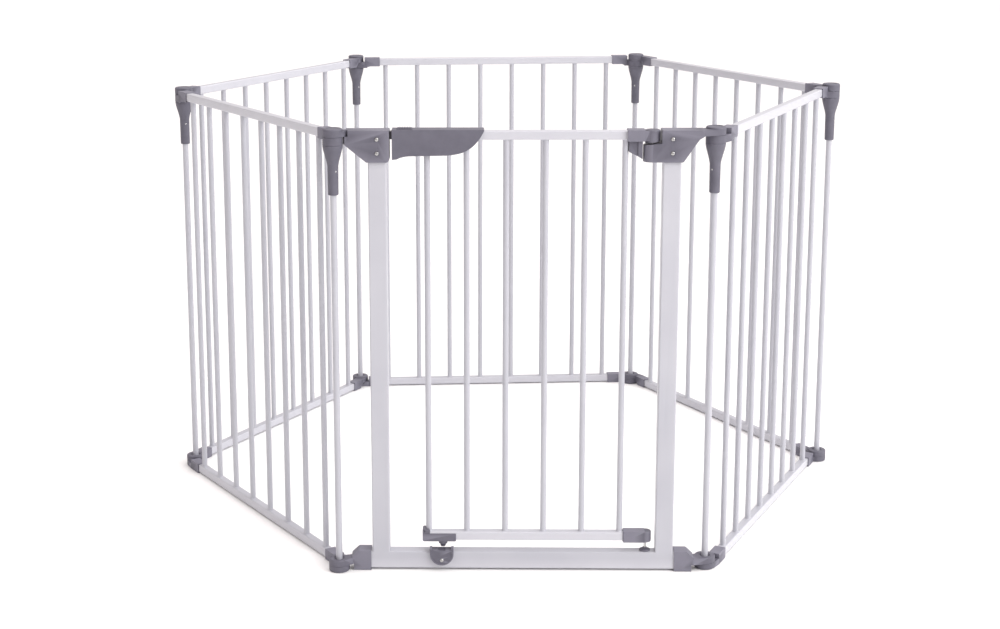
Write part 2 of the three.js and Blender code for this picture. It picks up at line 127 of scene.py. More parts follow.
def module_matrix(name):
    """From a module's own frame (X along it, Y inwards) to the row frame, in metres."""
    start, end, hand = MODULES[name]
    a, b = FEET[start], FEET[end]
    angle = math.atan2(b.y - a.y, b.x - a.x) + (-TILT if hand == "upper" else TILT)
    return Matrix.Translation((a + b) / 2) @ Matrix.Rotation(angle, 4, "Z")


# ---------- outlines ----------
def rounded(points, radius, steps=5):
    """The outline with its corners rounded; radius is one number or one per corner."""
    radii = radius if isinstance(radius, (list, tuple)) else [radius] * len(points)
    pts = [Vector(p) for p in points]
    out = []
    for i, p in enumerate(pts):
        to_a = (pts[i - 1] - p).normalized()
        to_b = (pts[(i + 1) % len(pts)] - p).normalized()
        half = to_a.angle(to_b) / 2
        if radii[i] == 0 or half > math.radians(86):
            out.append(p)
            continue
        centre = p + (to_a + to_b).normalized() * (radii[i] / math.sin(half))
        reach = radii[i] / math.tan(half)
        start, end = p + to_a * reach - centre, p + to_b * reach - centre
        sweep = math.pi - 2 * half
        turn = 1 if start.cross(end) > 0 else -1
        for k in range(steps + 1):
            a = turn * sweep * k / steps
            c, s = math.cos(a), math.sin(a)
            out.append(centre + Vector((c * start.x - s * start.y, s * start.x + c * start.y)))
    return out


def arc(cx, cy, radius, a0, a1, steps):
    """Points on an arc from angle a0 to a1, in degrees."""
    out = []
    for k in range(steps + 1):
        a = math.radians(a0 + (a1 - a0) * k / steps)
        out.append((cx + radius * math.cos(a), cy + radius * math.sin(a)))
    return out


def curve(p0, p1, p2, steps=10):
    """A quadratic curve from p0 to p2 with control point p1, without its first point."""
    out = []
    for k in range(1, steps + 1):
        t = k / steps
        u = 1 - t
        out.append(tuple(u * u * a + 2 * u * t * b + t * t * c for a, b, c in zip(p0, p1, p2)))
    return out


# ---------- solids ----------
def tidy(bm):
    bmesh.ops.recalc_face_normals(bm, faces=bm.faces)
    return bm


def sweep(points, lo, hi, place):
    """A closed prism; place(u, v, w) puts an outline point u, v at depth w."""
    bm = bmesh.new()
    rings = [[bm.verts.new(place(p[0], p[1], w)) for p in points] for w in (lo, hi)]
    bm.faces.new(rings[0])
    bm.faces.new(rings[1])
    n = len(points)
    for i in range(n):
        j = (i + 1) % n
        bm.faces.new((rings[0][i], rings[0][j], rings[1][j], rings[1][i]))
    return tidy(bm)


def plan(points, z0, z1):
    return sweep(points, z0, z1, lambda u, v, w: (u, v, w))


def front(points, y0, y1):
    return sweep(points, y0, y1, lambda u, v, w: (u, w, v))


def along_x(points, x0, x1):
    return sweep(points, x0, x1, lambda u, v, w: (w, u, v))


def rectangle(u0, u1, v0, v1):
    return [(u0, v0), (u1, v0), (u1, v1), (u0, v1)]


def block(x0, x1, y0, y1, z0, z1):
    return plan(rectangle(x0, x1, y0, y1), z0, z1)


def lathe(x, y, profile, segments=48, axis="Z"):
    """A turned solid from [radius, height] points; the profile closes on itself or on the axis."""
    bm = bmesh.new()
    rings = []
    for r, h in profile:
        if r == 0:
            rings.append([bm.verts.new((0, 0, h))])
            continue
        ring = []
        for k in range(segments):
            a = 2 * math.pi * k / segments
            ring.append(bm.verts.new((r * math.cos(a), r * math.sin(a), h)))
        rings.append(ring)
    closed = profile[0][0] != 0
    pairs = list(zip(rings, rings[1:])) + ([(rings[-1], rings[0])] if closed else [])
    for a, b in pairs:
        for k in range(segments):
            m = (k + 1) % segments
            corners = [a[k % len(a)], a[m % len(a)], b[m % len(b)], b[k % len(b)]]
            bm.faces.new(list(dict.fromkeys(corners)))
    if axis == "Y":  # heights run along -Y, out of the front
        bm.transform(Matrix.Rotation(math.pi / 2, 4, "X"))
    bm.transform(Matrix.Translation((x, y, 0) if axis == "Z" else (x, 0, y)))
    return tidy(bm)


def disc(x, y, radius, z0, z1, segments=48):
    return lathe(x, y, [(0, z0), (radius, z0), (radius, z1), (0, z1)], segments)


def temp_object(bm):
    mesh = bpy.data.meshes.new("temp")
    bm.to_mesh(mesh)
    bm.free()
    obj = bpy.data.objects.new("temp", mesh)
    bpy.context.scene.collection.objects.link(obj)
    return obj


def moulded(parts, cuts=(), bevel=1.0, segments=3, angle=32):
    """One closed mesh: the parts joined, the cuts taken away and the sharp edges rounded."""
    base = temp_object(parts[0])
    helpers = []
    for bm, operation in [(p, "UNION") for p in parts[1:]] + [(c, "DIFFERENCE") for c in cuts]:
        other = temp_object(bm)
        helpers.append(other)
        mod = base.modifiers.new("join", "BOOLEAN")
        mod.operation = operation
        mod.solver = "EXACT"
        mod.object = other
    if bevel:
        mod = base.modifiers.new("edge", "BEVEL")
        mod.face_strength_mode = "FSTR_ALL"
        mod.width = bevel
        mod.segments = segments
        mod.limit_method = "ANGLE"
        mod.angle_limit = math.radians(angle)
        mod.use_clamp_overlap = True
    deps = bpy.context.evaluated_depsgraph_get()
    mesh = bpy.data.meshes.new_from_object(base.evaluated_get(deps))
    for obj in [base, *helpers]:
        old = obj.data
        bpy.data.objects.remove(obj)
        bpy.data.meshes.remove(old)
    bm = bmesh.new()
    bm.from_mesh(mesh)
    bmesh.ops.remove_doubles(bm, verts=bm.verts, dist=0.01)
    bmesh.ops.dissolve_degenerate(bm, edges=bm.edges, dist=0.005)
    bm.to_mesh(mesh)
    bm.free()
    return mesh


def from_mesh(mesh):
    """A moulded mesh as a solid, to be joined to others."""
    bm = bmesh.new()
    bm.from_mesh(mesh)
    return bm


def add_piece(name, mesh, material, matrix, body, nodes):
    """Scales a millimetre mesh to metres, places it, and gives it to its body."""
    mesh = mesh.copy()
    mesh.name = name
    mesh.transform(matrix @ Matrix.Scale(MM, 4))
    if matrix.is_negative:
        mesh.flip_normals()
    for poly in mesh.polygons:
        poly.use_smooth = True
    mesh.set_sharp_from_angle(angle=math.radians(35))
    mesh.materials.clear()
    mesh.materials.append(material)
    obj = bpy.data.objects.new(name, mesh)
    bpy.context.scene.collection.objects.link(obj)
    mod = obj.modifiers.new("normals", "WEIGHTED_NORMAL")
    mod.keep_sharp = True
    mod.use_face_influence = True
    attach(obj, body)
    if nodes:
        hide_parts(*nodes)
    return obj


# ---------- materials ----------
def new_material(name):
    mat = bpy.data.materials.new(name)
    mat.use_nodes = True
    tree = mat.node_tree
    tree.nodes.clear()
    out = tree.nodes.new("ShaderNodeOutputMaterial")
    shader = tree.nodes.new("ShaderNodeBsdfPrincipled")
    tree.links.new(shader.outputs["BSDF"], out.inputs["Surface"])
    coords = tree.nodes.new("ShaderNodeTexCoord")
    return mat, tree, shader, coords


def noise(tree, coords, scale, detail=3.0, roughness=0.5):
    node = tree.nodes.new("ShaderNodeTexNoise")
    node.inputs["Scale"].default_value = scale
    node.inputs["Detail"].default_value = detail
    node.inputs["Roughness"].default_value = roughness
    tree.links.new(coords.outputs["Object"], node.inputs["Vector"])
    return node.outputs["Fac"]


def ramp(tree, value, stops):
    """A colour ramp over value; stops are (position, colour)."""
    node = tree.nodes.new("ShaderNodeValToRGB")
    elements = node.color_ramp.elements
    while len(elements) < len(stops):
        elements.new(0.5)
    for element, (position, colour) in zip(elements, stops):
        element.position = position
        element.color = (*colour, 1)
    tree.links.new(value, node.inputs["Fac"])
    return node.outputs["Color"]


def spread(tree, value, lo, hi):
    """Maps a 0.3 to 0.7 noise value to lo to hi."""
    node = tree.nodes.new("ShaderNodeMapRange")
    node.inputs["From Min"].default_value = 0.3
    node.inputs["From Max"].default_value = 0.7
    node.inputs["To Min"].default_value = lo
    node.inputs["To Max"].default_value = hi
    tree.links.new(value, node.inputs["Value"])
    return node.outputs["Result"]


def bump(tree, shader, heights):
    """Chains bumps from (height, strength, distance in metres)."""
    previous = None
    for height, strength, distance in heights:
        node = tree.nodes.new("ShaderNodeBump")
        node.inputs["Strength"].default_value = strength
        node.inputs["Distance"].default_value = distance
        tree.links.new(height, node.inputs["Height"])
        if previous:
            tree.links.new(previous, node.inputs["Normal"])
        previous = node.outputs["Normal"]
    tree.links.new(previous, shader.inputs["Normal"])


def edge_mix(tree, base, colour, start, end, strength):
    """Lightens worn convex edges, where Geometry's pointiness is high."""
    geometry = tree.nodes.new("ShaderNodeNewGeometry")
    level = tree.nodes.new("ShaderNodeMapRange")
    level.inputs["From Min"].default_value = start
    level.inputs["From Max"].default_value = end
    level.inputs["To Max"].default_value = strength
    tree.links.new(geometry.outputs["Pointiness"], level.inputs["Value"])
    mix = tree.nodes.new("ShaderNodeMix")
    mix.data_type = "RGBA"
    mix.inputs["B"].default_value = (*colour, 1)
    tree.links.new(level.outputs["Result"], mix.inputs["Factor"])
    tree.links.new(base, mix.inputs["A"])
    return mix.outputs["Result"]


def powder_coat():
    """White powder coat: a fine orange peel under a soft gloss, slightly lavender."""
    mat, tree, shader, coords = new_material("powder_coat_white")
    tint = noise(tree, coords, 9, 2)
    base = ramp(tree, tint, [(0.35, (0.44, 0.445, 0.495)), (0.65, (0.468, 0.473, 0.52))])
    tree.links.new(edge_mix(tree, base, (0.7, 0.7, 0.75), 0.53, 0.62, 0.5), shader.inputs["Base Color"])
    tree.links.new(spread(tree, noise(tree, coords, 60, 3), 0.3, 0.42), shader.inputs["Roughness"])
    shader.inputs["Coat Weight"].default_value = 0.25
    shader.inputs["Coat Roughness"].default_value = 0.22
    peel = noise(tree, coords, 900, 2)
    grit = noise(tree, coords, 3200, 2)
    bump(tree, shader, [(peel, 0.22, 0.0004), (grit, 0.1, 0.0001)])
    return mat


def moulded_plastic(name, dark, light, edge, roughness):
    """Moulded plastic with a fine spark-eroded texture and paler, rubbed edges."""
    mat, tree, shader, coords = new_material(name)
    base = ramp(tree, noise(tree, coords, 45, 4, 0.6), [(0.35, dark), (0.65, light)])
    tree.links.new(edge_mix(tree, base, edge, 0.52, 0.6, 0.55), shader.inputs["Base Color"])
    fine = noise(tree, coords, 2600, 2)
    tree.links.new(spread(tree, fine, roughness - 0.06, roughness + 0.08), shader.inputs["Roughness"])
    shader.inputs["Specular IOR Level"].default_value = 0.45
    bump(tree, shader, [(noise(tree, coords, 180, 3), 0.08, 0.0004), (fine, 0.28, 0.00012)])
    return mat


def zinc_steel():
    """Zinc-plated steel with fine lines and a slight yellow bloom."""
    mat, tree, shader, coords = new_material("zinc_steel")
    shader.inputs["Metallic"].default_value = 1.0
    base = ramp(tree, noise(tree, coords, 300, 3), [(0.35, (0.42, 0.42, 0.43)), (0.65, (0.56, 0.56, 0.55))])
    tree.links.new(base, shader.inputs["Base Color"])
    tree.links.new(spread(tree, noise(tree, coords, 1400, 3), 0.16, 0.34), shader.inputs["Roughness"])
    bump(tree, shader, [(noise(tree, coords, 2200, 2), 0.12, 0.0001)])
    return mat


WHITE = powder_coat()
GREY = moulded_plastic(
    "moulded_grey_plastic", (0.108, 0.105, 0.136), (0.126, 0.122, 0.157), (0.25, 0.245, 0.3), 0.5
)
# The bolt's plastic: the grey plastic darkened to near black, which is painted shade of the narrow gap
# between the handle and the bracket where the bolt shows.
PAINTED_SHADE_PLASTIC = moulded_plastic(
    "moulded_plastic_painted_gap_shade", (0.04, 0.037, 0.048), (0.055, 0.05, 0.062), (0.12, 0.11, 0.13), 0.45
)
STEEL = zinc_steel()


# ---------- shared tube shapes ----------
def tube_outline(half_u, half_v, v0, radius=2.2):
    """A rounded rectangle's outline, from v0 up."""
    return rounded(rectangle(-half_u, half_u, v0, v0 + 2 * half_v), radius, 4)


def bar(x, z0, z1, radius=BAR_R):
    """A round bar whose ends flare into small weld beads at z0 and z1."""
    bead = 1.3
    tall = 2.2
    profile = [(0, z0 - 4), (radius + bead, z0 - 4), (radius + bead, z0)]
    for k in range(1, 5):
        a = math.pi / 2 * k / 4
        profile.append((radius + bead * (1 - math.sin(a)), z0 + tall * (1 - math.cos(a))))
    for k in range(4, 0, -1):
        a = math.pi / 2 * k / 4
        profile.append((radius + bead * (1 - math.sin(a)), z1 - tall * (1 - math.cos(a))))
    profile += [(radius + bead, z1), (radius + bead, z1 + 4), (0, z1 + 4)]
    return lathe(x, 0, profile, 32)


# ---------- fence panels ----------
def fence_mesh():
    parts = [
        along_x(tube_outline(RAIL_HALF, RAIL_HALF, z0), -RAIL_END, RAIL_END)
        for z0 in (TOP_RAIL[0], FOOT_RAIL[0])
    ]
    for i in range(BARS):
        parts.append(bar((i - (BARS - 1) / 2) * BAR_STEP, FOOT_RAIL[1], TOP_RAIL[0]))
    return moulded(parts, bevel=0)


# Cap shapes are drawn round their pole's axis: X runs along the panel, away from the pole, and
# the panel's centre line is at y = POLE_OFFSET.
def knuckle_solid(level, hand):
    """A hinge knuckle; its outer rims are rounded or just broken."""
    z0, z1, round_low, round_high = KNUCKLES[level, hand]
    radius = KNUCKLE_R[level]
    profile = [(0, z0)]
    for rim, z, towards in ((round_low, z0, 1), (round_high, z1, -1)):
        pts = []
        for k in range(6):
            a = math.pi / 2 * k / 5
            pts.append((radius - rim + rim * math.sin(a), z + towards * rim * (1 - math.cos(a))))
        profile += pts if towards > 0 else pts[::-1]
    profile.append((0, z1))
    return lathe(0, 0, profile, 64)


KNUCKLES = {
    ("top", "upper"): (*UPPER_TOP, 0.5, 3.0),
    ("top", "lower"): (*LOWER_TOP, 0.5, 0.5),
    ("bottom", "upper"): (*UPPER_FOOT, 0.5, 2.0),
    ("bottom", "lower"): (*LOWER_FOOT, 1.4, 0.5),
}


def knuckle_bore(level, hand):
    z0, z1 = KNUCKLES[level, hand][:2]
    low_end = z0 + 1.8 if (level, hand) == ("bottom", "lower") else z0 - 1
    high_end = z1 - 3.8 if (level, hand) == ("top", "upper") else z1 + 1
    return disc(0, 0, POLE_R + FIT, low_end, high_end, 32)


def top_dish(level, hand):
    """A shallow recess: round the pole where it enters, and a plain dimple in the very top."""
    z1 = KNUCKLES[level, hand][1]
    if (level, hand) == ("bottom", "upper"):
        return [lathe(0, 0, [(0, z1 - 1.6), (8.2, z1 - 1.6), (10.4, z1 + 1), (0, z1 + 1)], 48)]
    if (level, hand) == ("top", "upper"):
        return [lathe(0, 0, [(0, z1 - 0.7), (10.2, z1 - 0.7), (11.2, z1 + 1), (0, z1 + 1)], 48)]
    return []


def tangent(level, u, v, way):
    """Where a line from (u, v) touches the knuckle; way is +1 for its higher V side."""
    radius = KNUCKLE_R[level] - 0.1
    turn = way * math.copysign(math.acos(radius / math.hypot(u, v)), u)
    angle = math.atan2(v, u) + turn
    return (radius * math.cos(angle), radius * math.sin(angle))


def cap_mesh(level, hand):
    rail = TOP_RAIL if level == "top" else FOOT_RAIL
    z0, z1 = rail[0] - CAP_WALL, rail[1] + CAP_WALL
    half = RAIL_HALF + CAP_WALL
    k0, k1 = KNUCKLES[level, hand][:2]
    arm_low = k0 if hand == "upper" else min(k0 + 1, z0)
    arm_high = min(k1, z1)
    mid = POLE_OFFSET
    near = CAP_BACK - 0.5
    arm = [
        tangent(level, near, mid - half, -1),
        (near, mid - half),
        (CAP_BACK + 6, mid - half),
        (CAP_BACK + 6, mid + half),
        (near, mid + half),
        tangent(level, near, mid + half, 1),
    ]
    if hand == "upper":  # the block's underside rises to the arm
        heel = [(CAP_BACK, arm_low), (CAP_BACK + 9, z0)]
    elif level == "top":  # the block's underside drops to the arm
        heel = [(CAP_BACK, arm_low + 4), (CAP_BACK - 2, arm_low), (CAP_BACK + 12, z0)]
    else:
        heel = [(CAP_BACK, z0)]
    profile = rounded([*heel, (CAP_MOUTH, z0), (CAP_MOUTH, z1), (CAP_BACK, z1)], 1.2, 3)
    pocket = RAIL_HALF + FIT
    y0, y1 = mid - pocket, mid + pocket
    cut = block(POLE_X - RAIL_END - FIT, CAP_MOUTH + 1, y0, y1, rail[0] - FIT, rail[1] + FIT)
    return moulded(
        [
            front(profile, mid - half, mid + half),
            plan(arm, arm_low, arm_high),
            knuckle_solid(level, hand),
        ],
        [cut, knuckle_bore(level, hand), *top_dish(level, hand)],
        bevel=1.1,
    )


def cap_matrix(module, end):
    """From a cap's own frame to the row frame; two of the four kinds of end are mirror images."""
    hand = MODULES[module][2]
    along = 1 if end == "start" else -1
    across = -1 if (hand == "upper") == (end == "end") else 1
    local = Matrix.Translation((-along * POLE_X * MM, -across * POLE_OFFSET * MM, 0))
    flip = Matrix.Diagonal((along, across, 1, 1))
    return module_matrix(module) @ local @ flip


def build_fences():
    fence = fence_mesh()
    for name, (_, _, hand) in MODULES.items():
        if name == "gate":
            continue
        body = f"{name}_panel"
        node = f"{name}_fence"
        add_piece(f"fence_{name}", fence, WHITE, module_matrix(name), body, [node])
        for level in ("top", "bottom"):
            for end in ("start", "end"):
                node = f"{name}_cap_{level}_{end}"
                add_piece(
                    f"cap_{name}_{level}_{end}",
                    CAPS[level, hand],
                    GREY,
                    cap_matrix(name, end),
                    body,
                    [node],
                )


# ---------- screws ----------
def screw_mesh(x, z, face, radius=3.3, depth=14):
    """A pan-head screw pointing into +Y, its head standing on the plane y = face."""
    rise = 1.9
    profile = [(0, -face + rise)]
    for k in range(1, 7):
        a = math.pi / 2 * k / 6
        profile.append((radius * math.sin(a), -face + 0.5 + (rise - 0.5) * math.cos(a)))
    profile += [(radius, -face), (2, -face), (2, -face - depth), (0, -face - depth)]
    head = lathe(x, z, profile, 40, axis="Y")
    cuts = []
    for turn in (0, 90):
        slot = block(-2.1, 2.1, face - rise - 1, face - 0.9, -0.4, 0.4)
        slot.transform(Matrix.Translation((x, 0, z)) @ Matrix.Rotation(math.radians(turn + 20), 4, "Y"))
        cuts.append(slot)
    return moulded([head], cuts, bevel=0.08, segments=2, angle=50)


# ---------- corner poles and locking sleeves ----------
def pole_mesh():
    return moulded([disc(0, 0, POLE_R, low("pole_right").z, high("pole_right").z, 40)], bevel=0.8)


def sleeve_mesh():
    """A cone that narrows to a long grip, in one turned shell."""
    inner = POLE_R + FIT
    neck = 694
    grip = 9.0
    widest = KNUCKLE_R["top"]
    profile = [(inner, SLEEVE_BOTTOM)]
    for k in range(5):
        a = math.pi / 2 * k / 4
        profile.append((7.2 + 1.5 * math.sin(a), SLEEVE_BOTTOM + 1.5 * (1 - math.cos(a))))
    rim = SLEEVE_TOP - 1.2
    for k in range(17):  # a straight grip that flares to the rim, steepest half way
        t = k / 16
        eased = 0.45 * t + 0.55 * t * t * (3 - 2 * t)
        profile.append((grip + (widest - grip) * eased, neck + (rim - neck) * t))
    profile += [(widest, SLEEVE_TOP - 0.6), (widest - 0.6, SLEEVE_TOP), (inner, SLEEVE_TOP)]
    return moulded([lathe(0, 0, profile, 64)], bevel=0)


def rivet_mesh():
    """The pin through a sleeve, with a domed head that faces -Y."""
    reach = 9.6
    profile = [(0, reach), (0.9, reach - 0.15), (1.5, reach - 0.6), (1.5, 7), (0, 7)]
    return moulded([lathe(0, 686, profile, 24, axis="Y")], bevel=0)


# A rivet's place round its pole, as seen from the gate's side.
RIVET_TURN = {
    "front_left": 35,
    "front_right": -42,
    "left": 20,
    "right": 55,
    "back_left": 40,
    "back_right": -20,
}
POLE_BODY = {
    "front_left": "gate",
    "front_right": "gate",
    "right": "back_right_panel",
    "back_right": "back_right_panel",
    "left": "back_left_panel",
    "back_left": "back_left_panel",
}


def build_corners():
    pole, sleeve, rivet = pole_mesh(), sleeve_mesh(), rivet_mesh()
    for name in CORNERS:
        place = Matrix.Translation(FEET[name])
        turned = place @ Matrix.Rotation(math.radians(RIVET_TURN[name]), 4, "Z")
        body = f"sleeve_{name}"
        add_piece(f"pole_tube_{name}", pole, WHITE, place, POLE_BODY[name], [f"pole_{name}"])
        add_piece(f"sleeve_{name}", sleeve, GREY, place, body, [f"lock_sleeve_{name}"])
        add_piece(f"sleeve_rivet_{name}", rivet, STEEL, turned, body, [])


# ---------- gate frame ----------
GATE = module_matrix("gate")


def gate_piece(name, mesh, material, body, nodes):
    return add_piece(name, mesh, material, GATE, body, nodes)


def gate_frame_mesh():
    parts = [along_x(tube_outline(POST_DEEP, POST_HALF, SILL[0], 2.5), -SILL_END, SILL_END)]
    top = high("gate_frame").z
    for side in (-1, 1):
        x = side * POST_X
        shape = rounded(rectangle(x - POST_HALF, x + POST_HALF, -POST_DEEP, POST_DEEP), 2.5, 4)
        parts.append(plan(shape, SILL[1] - 4, top))
    return moulded(parts, [disc(HINGE_X, 0, 2.4, SILL[1] - 12, SILL[1] + 1, 24)], bevel=0)


def gate_arm(level, side, from_x, front_y, z0, z1):
    """The arm from a gate fitting to its knuckle, tangent to the knuckle at the front."""
    x, y = side * POLE_X, side * POLE_OFFSET
    touch = tangent(level, side * from_x - x, front_y - y, -1)
    points = [
        (side * from_x, front_y),
        (x + touch[0], y + touch[1]),
        (x, y + 9),
        (side * from_x, 9 + 3 * side),
    ]
    return plan(points, z0, z1)


def at_pole(bm, side):
    bm.transform(Matrix.Translation((side * POLE_X, side * POLE_OFFSET, 0)))
    return bm


def post_pocket(side):
    x = side * POST_X
    half = POST_HALF + FIT
    deep = POST_DEEP + FIT
    return block(x - half, x + half, -deep, deep, BRACKET_FOOT - 2, POST_TOP + FIT)


def screw_recess(side):
    """Small countersunk seats round the two screws."""
    seat = BRACKET_HALF - SCREW_DEPTH
    profile = [(0, seat), (4.1, seat), (4.5, 17), (0, 17)]
    return [lathe(side * POST_X, z, profile, 32, "Y") for z in SCREW_Z]


def bracket_left_mesh():
    """The bracket on the left post; its web is cut back round the knuckle and notched for the arm."""
    inner = 218.3
    end = -POLE_X + 19.8
    flank = [
        (end + 2, -BRACKET_HALF),
        (end, -BRACKET_HALF),
        (end - 3.2, -6.5),
        (end - 3.2, 4),
        (end + 2, 4),
    ]
    shape = rounded(
        [
            (-BRACKET_OUTER, BRACKET_FOOT),
            (-inner, BRACKET_FOOT),
            (-inner, BRACKET_TOP),
            (end, BRACKET_TOP),
            (end, 728.5),
        ],
        [3, 5, 1, 1, 2],
    )
    web = moulded(
        [front(shape, -BRACKET_HALF, BRACKET_HALF), plan(flank, 729.5, BRACKET_TOP)],
        [block(end - 5, end + 5, -BRACKET_HALF - 1, -9, UPPER_TOP[0], BRACKET_TOP + 1)],
        bevel=0,
    )
    return moulded(
        [
            from_mesh(web),
            gate_arm("top", -1, 286, -9, UPPER_TOP[0], BRACKET_TOP - 0.8),
            at_pole(knuckle_solid("top", "upper"), -1),
        ],
        [
            post_pocket(-1),
            at_pole(knuckle_bore("top", "upper"), -1),
            at_pole(top_dish("top", "upper")[0], -1),
            *screw_recess(-1),
        ],
        bevel=1.4,
    )


SEAT_Z = 730.7
SEAT_SLOPE = math.tan(math.radians(8))
SEAT_GAP = math.sqrt(2) * SEAT_SLOPE * HINGE_R + 0.2  # lets the slopes pass in a quarter turn
SLOT_X = HINGE_X + 14


def cam(x):
    """Height of the rising hinge's sloping seat."""
    return SEAT_Z + SEAT_SLOPE * (x - HINGE_X)


def beyond_cam(gap, end):
    """Everything between the seat's slope, moved up by the gap, and the height end."""
    left, right = HINGE_X - 60, HINGE_X + 60
    return front([(left, cam(left) + gap), (right, cam(right) + gap), (right, end), (left, end)], -60, 60)


def bracket_right_mesh():
    arm_x = POLE_X - 21
    shape = rounded(
        [
            (HINGE_X, BRACKET_FOOT),
            (BRACKET_OUTER, BRACKET_FOOT),
            (281, 737.5),
            (arm_x, 742),
            (arm_x, BRACKET_TOP),
            (SLOT_X, BRACKET_TOP),
            (SLOT_X, cam(SLOT_X) - SEAT_GAP / 2 - 0.5),
            (HINGE_X, cam(HINGE_X) - SEAT_GAP / 2 - 0.5),
        ],
        [0, 3, 6, 1, 0, 1.5, 0, 0],
    )
    seat = moulded(
        [disc(HINGE_X, 0, BRACKET_HALF, BRACKET_FOOT, 745, 64)],
        [beyond_cam(-SEAT_GAP / 2, 800), block(SLOT_X, SLOT_X + 40, -40, 40, 690, 760)],
        bevel=0,
    )
    return moulded(
        [
            front(shape, -BRACKET_HALF, BRACKET_HALF),
            from_mesh(seat),
            gate_arm("top", 1, 285, -BRACKET_HALF, UPPER_TOP[0], BRACKET_TOP),
            at_pole(knuckle_solid("top", "upper"), 1),
        ],
        [
            post_pocket(1),
            disc(HINGE_X, 0, 3.3, 712, 760, 32),
            at_pole(knuckle_bore("top", "upper"), 1),
            at_pole(top_dish("top", "upper")[0], 1),
            *screw_recess(1),
        ],
        bevel=1.2,
    )


def shoe_mesh(side):
    """The shoe on the sill's end, sloping up to its block and down to the knuckle."""
    top = SILL[1] + 1.5
    half = POST_DEEP + 2
    k0, k1 = KNUCKLES["bottom", "upper"][:2]
    points = [(255.5, 0), (285, 0), (285, k0), (289, k0), (289, k1 + 2), (277, top), (255.5, top)]
    shape = rounded([(side * x, z) for x, z in points], [0, 1, 0, 0, 2, 4, 0])
    deep = POST_DEEP + FIT
    cut = block(-SILL_END - FIT, SILL_END + FIT, -deep, deep, SILL[0] - FIT, SILL[1] + FIT)
    return moulded(
        [
            front(shape, -half, half),
            gate_arm("bottom", side, 286, -half, k0, k1),
            at_pole(knuckle_solid("bottom", "upper"), side),
        ],
        [
            cut,
            at_pole(knuckle_bore("bottom", "upper"), side),
            at_pole(top_dish("bottom", "upper")[0], side),
        ],
        bevel=1.3,
    )


def keeper_mesh():
    """Half-round keeper on the sill, with a raised rim, two ears and a notch for the plunger."""
    radius = 20
    top = high("latch_keeper").z - 3
    centre = 30.2
    inner = radius - 2.2

    def half_round(r, height):
        curved = arc(KEEPER_X, centre, r, 180, 360, 32)
        return [(KEEPER_X - r, height), *curved, (KEEPER_X + r, height)]

    parts = [
        front(half_round(radius, top), -17, -11.3),
        block(KEEPER_X - radius, KEEPER_X + radius, -12.5, -4, 33.3, top),
    ]
    for side in (-1, 1):
        x = KEEPER_X + side * (radius - 1.9)
        parts.append(block(x - 1.9, x + 1.9, -17, -8, top - 1.5, top + 3))
    cuts = [
        front(half_round(inner, top - 2.5), -18, KEEPER_FACE),
        block(LATCH_X - 8, LATCH_X + 4, -18, -9.5, top - 1.6, top + 1),
        block(KEEPER_X + 14.6, KEEPER_X + 16.2, -18, -15.4, 27, 34),
        lathe(KEEPER_X, KEEPER_SCREW_Z, [(0, 5), (2.3, 5), (2.3, 30), (0, 30)], 24, "Y"),
    ]
    return moulded(parts, cuts, bevel=0.5)


def pivot_cup_mesh():
    base = high("pivot_cup").z - 8
    profile = [(2.4, base), (9, base), (9.2, base + 0.4), (9.2, base + 1.4), (8.6, base + 2.1)]
    profile += [(5.4, base + 2.9), (3.9, base + 3.8), (3.5, base + 5.2), (2.4, base + 5.2)]
    return moulded([lathe(HINGE_X, 0, profile, 48)], bevel=0)


def pin_mesh(radius, z0, z1):
    return moulded([disc(HINGE_X, 0, radius, z0, z1, 24)], bevel=0.5)


# ---------- door ----------
def door_mesh():
    parts = [
        along_x(tube_outline(RAIL_HALF, RAIL_HALF, DOOR_TOP[0]), -190, 188),
        along_x(tube_outline(RAIL_HALF, RAIL_HALF, DOOR_FOOT[0]), -165.5, 196),
    ]
    parts += [bar(x, DOOR_FOOT[1], DOOR_TOP[0]) for x in DOOR_BAR_X]
    return moulded(parts, bevel=0)


def rail_pocket(x0, x1, rail):
    half = RAIL_HALF + FIT
    return block(x0, x1, -half, half, rail[0] - FIT, rail[1] + FIT)


def handle_outline(left):
    """Front view of the grip: deep at the post, swept up to a tip."""
    points = [(left, 753.5), (left, 704.4), (-206, 705.2)]
    points += curve((-206, 705.2), (-200, 709.3), (-186, 710.4), 6)
    points.append((-127, 711.4))
    points += curve((-127, 711.4), (-112, 712.4), (-102, 715.4), 6)
    points += curve((-102, 715.4), (-78, 723.5), (-65, 751.6), 12)
    points += curve((-65, 751.6), (-64.7, 753.5), (-67, 753.5), 3)
    return points


def handle_mesh():
    cuts = [
        rail_pocket(-190.3, 0, DOOR_TOP),
        block(-215, -190, -6.3, 6.3, 736.7, 750.3),
        block(-206.8, -192.7, -3.3, 3.3, 745, 755),
    ]
    cuts += [disc(x, 0, BAR_R + 0.4, 700, DOOR_TOP[0] + 1, 32) for x in DOOR_BAR_X[:2]]
    return moulded([front(handle_outline(-214), -13.5, 13.5)], cuts, bevel=1.8, segments=4)


def lock_slide_mesh():
    """Thumb slide with a chamfered pad and grip ribs."""
    parts = [
        front(rounded([(-207, 753.8), (-180.5, 753.8), (-182, 755.2), (-205, 755.2)], 0.3, 2), -7, 7),
        block(-206.5, -201, -3, 3, 747, 754.5),
    ]
    parts += [block(x, x + 1.4, -5.8, 5.8, 754.6, 755.9) for x in (-202, -198, -194, -190, -186)]
    return moulded(parts, bevel=0.3, segments=2)


def latch_bolt_mesh():
    cut = block(-206.8, -200.7, -3.3, 3.3, 746.7, 751)
    return moulded([block(-217.7, -199, -6, 6, 737, 750)], [cut], bevel=1.2)


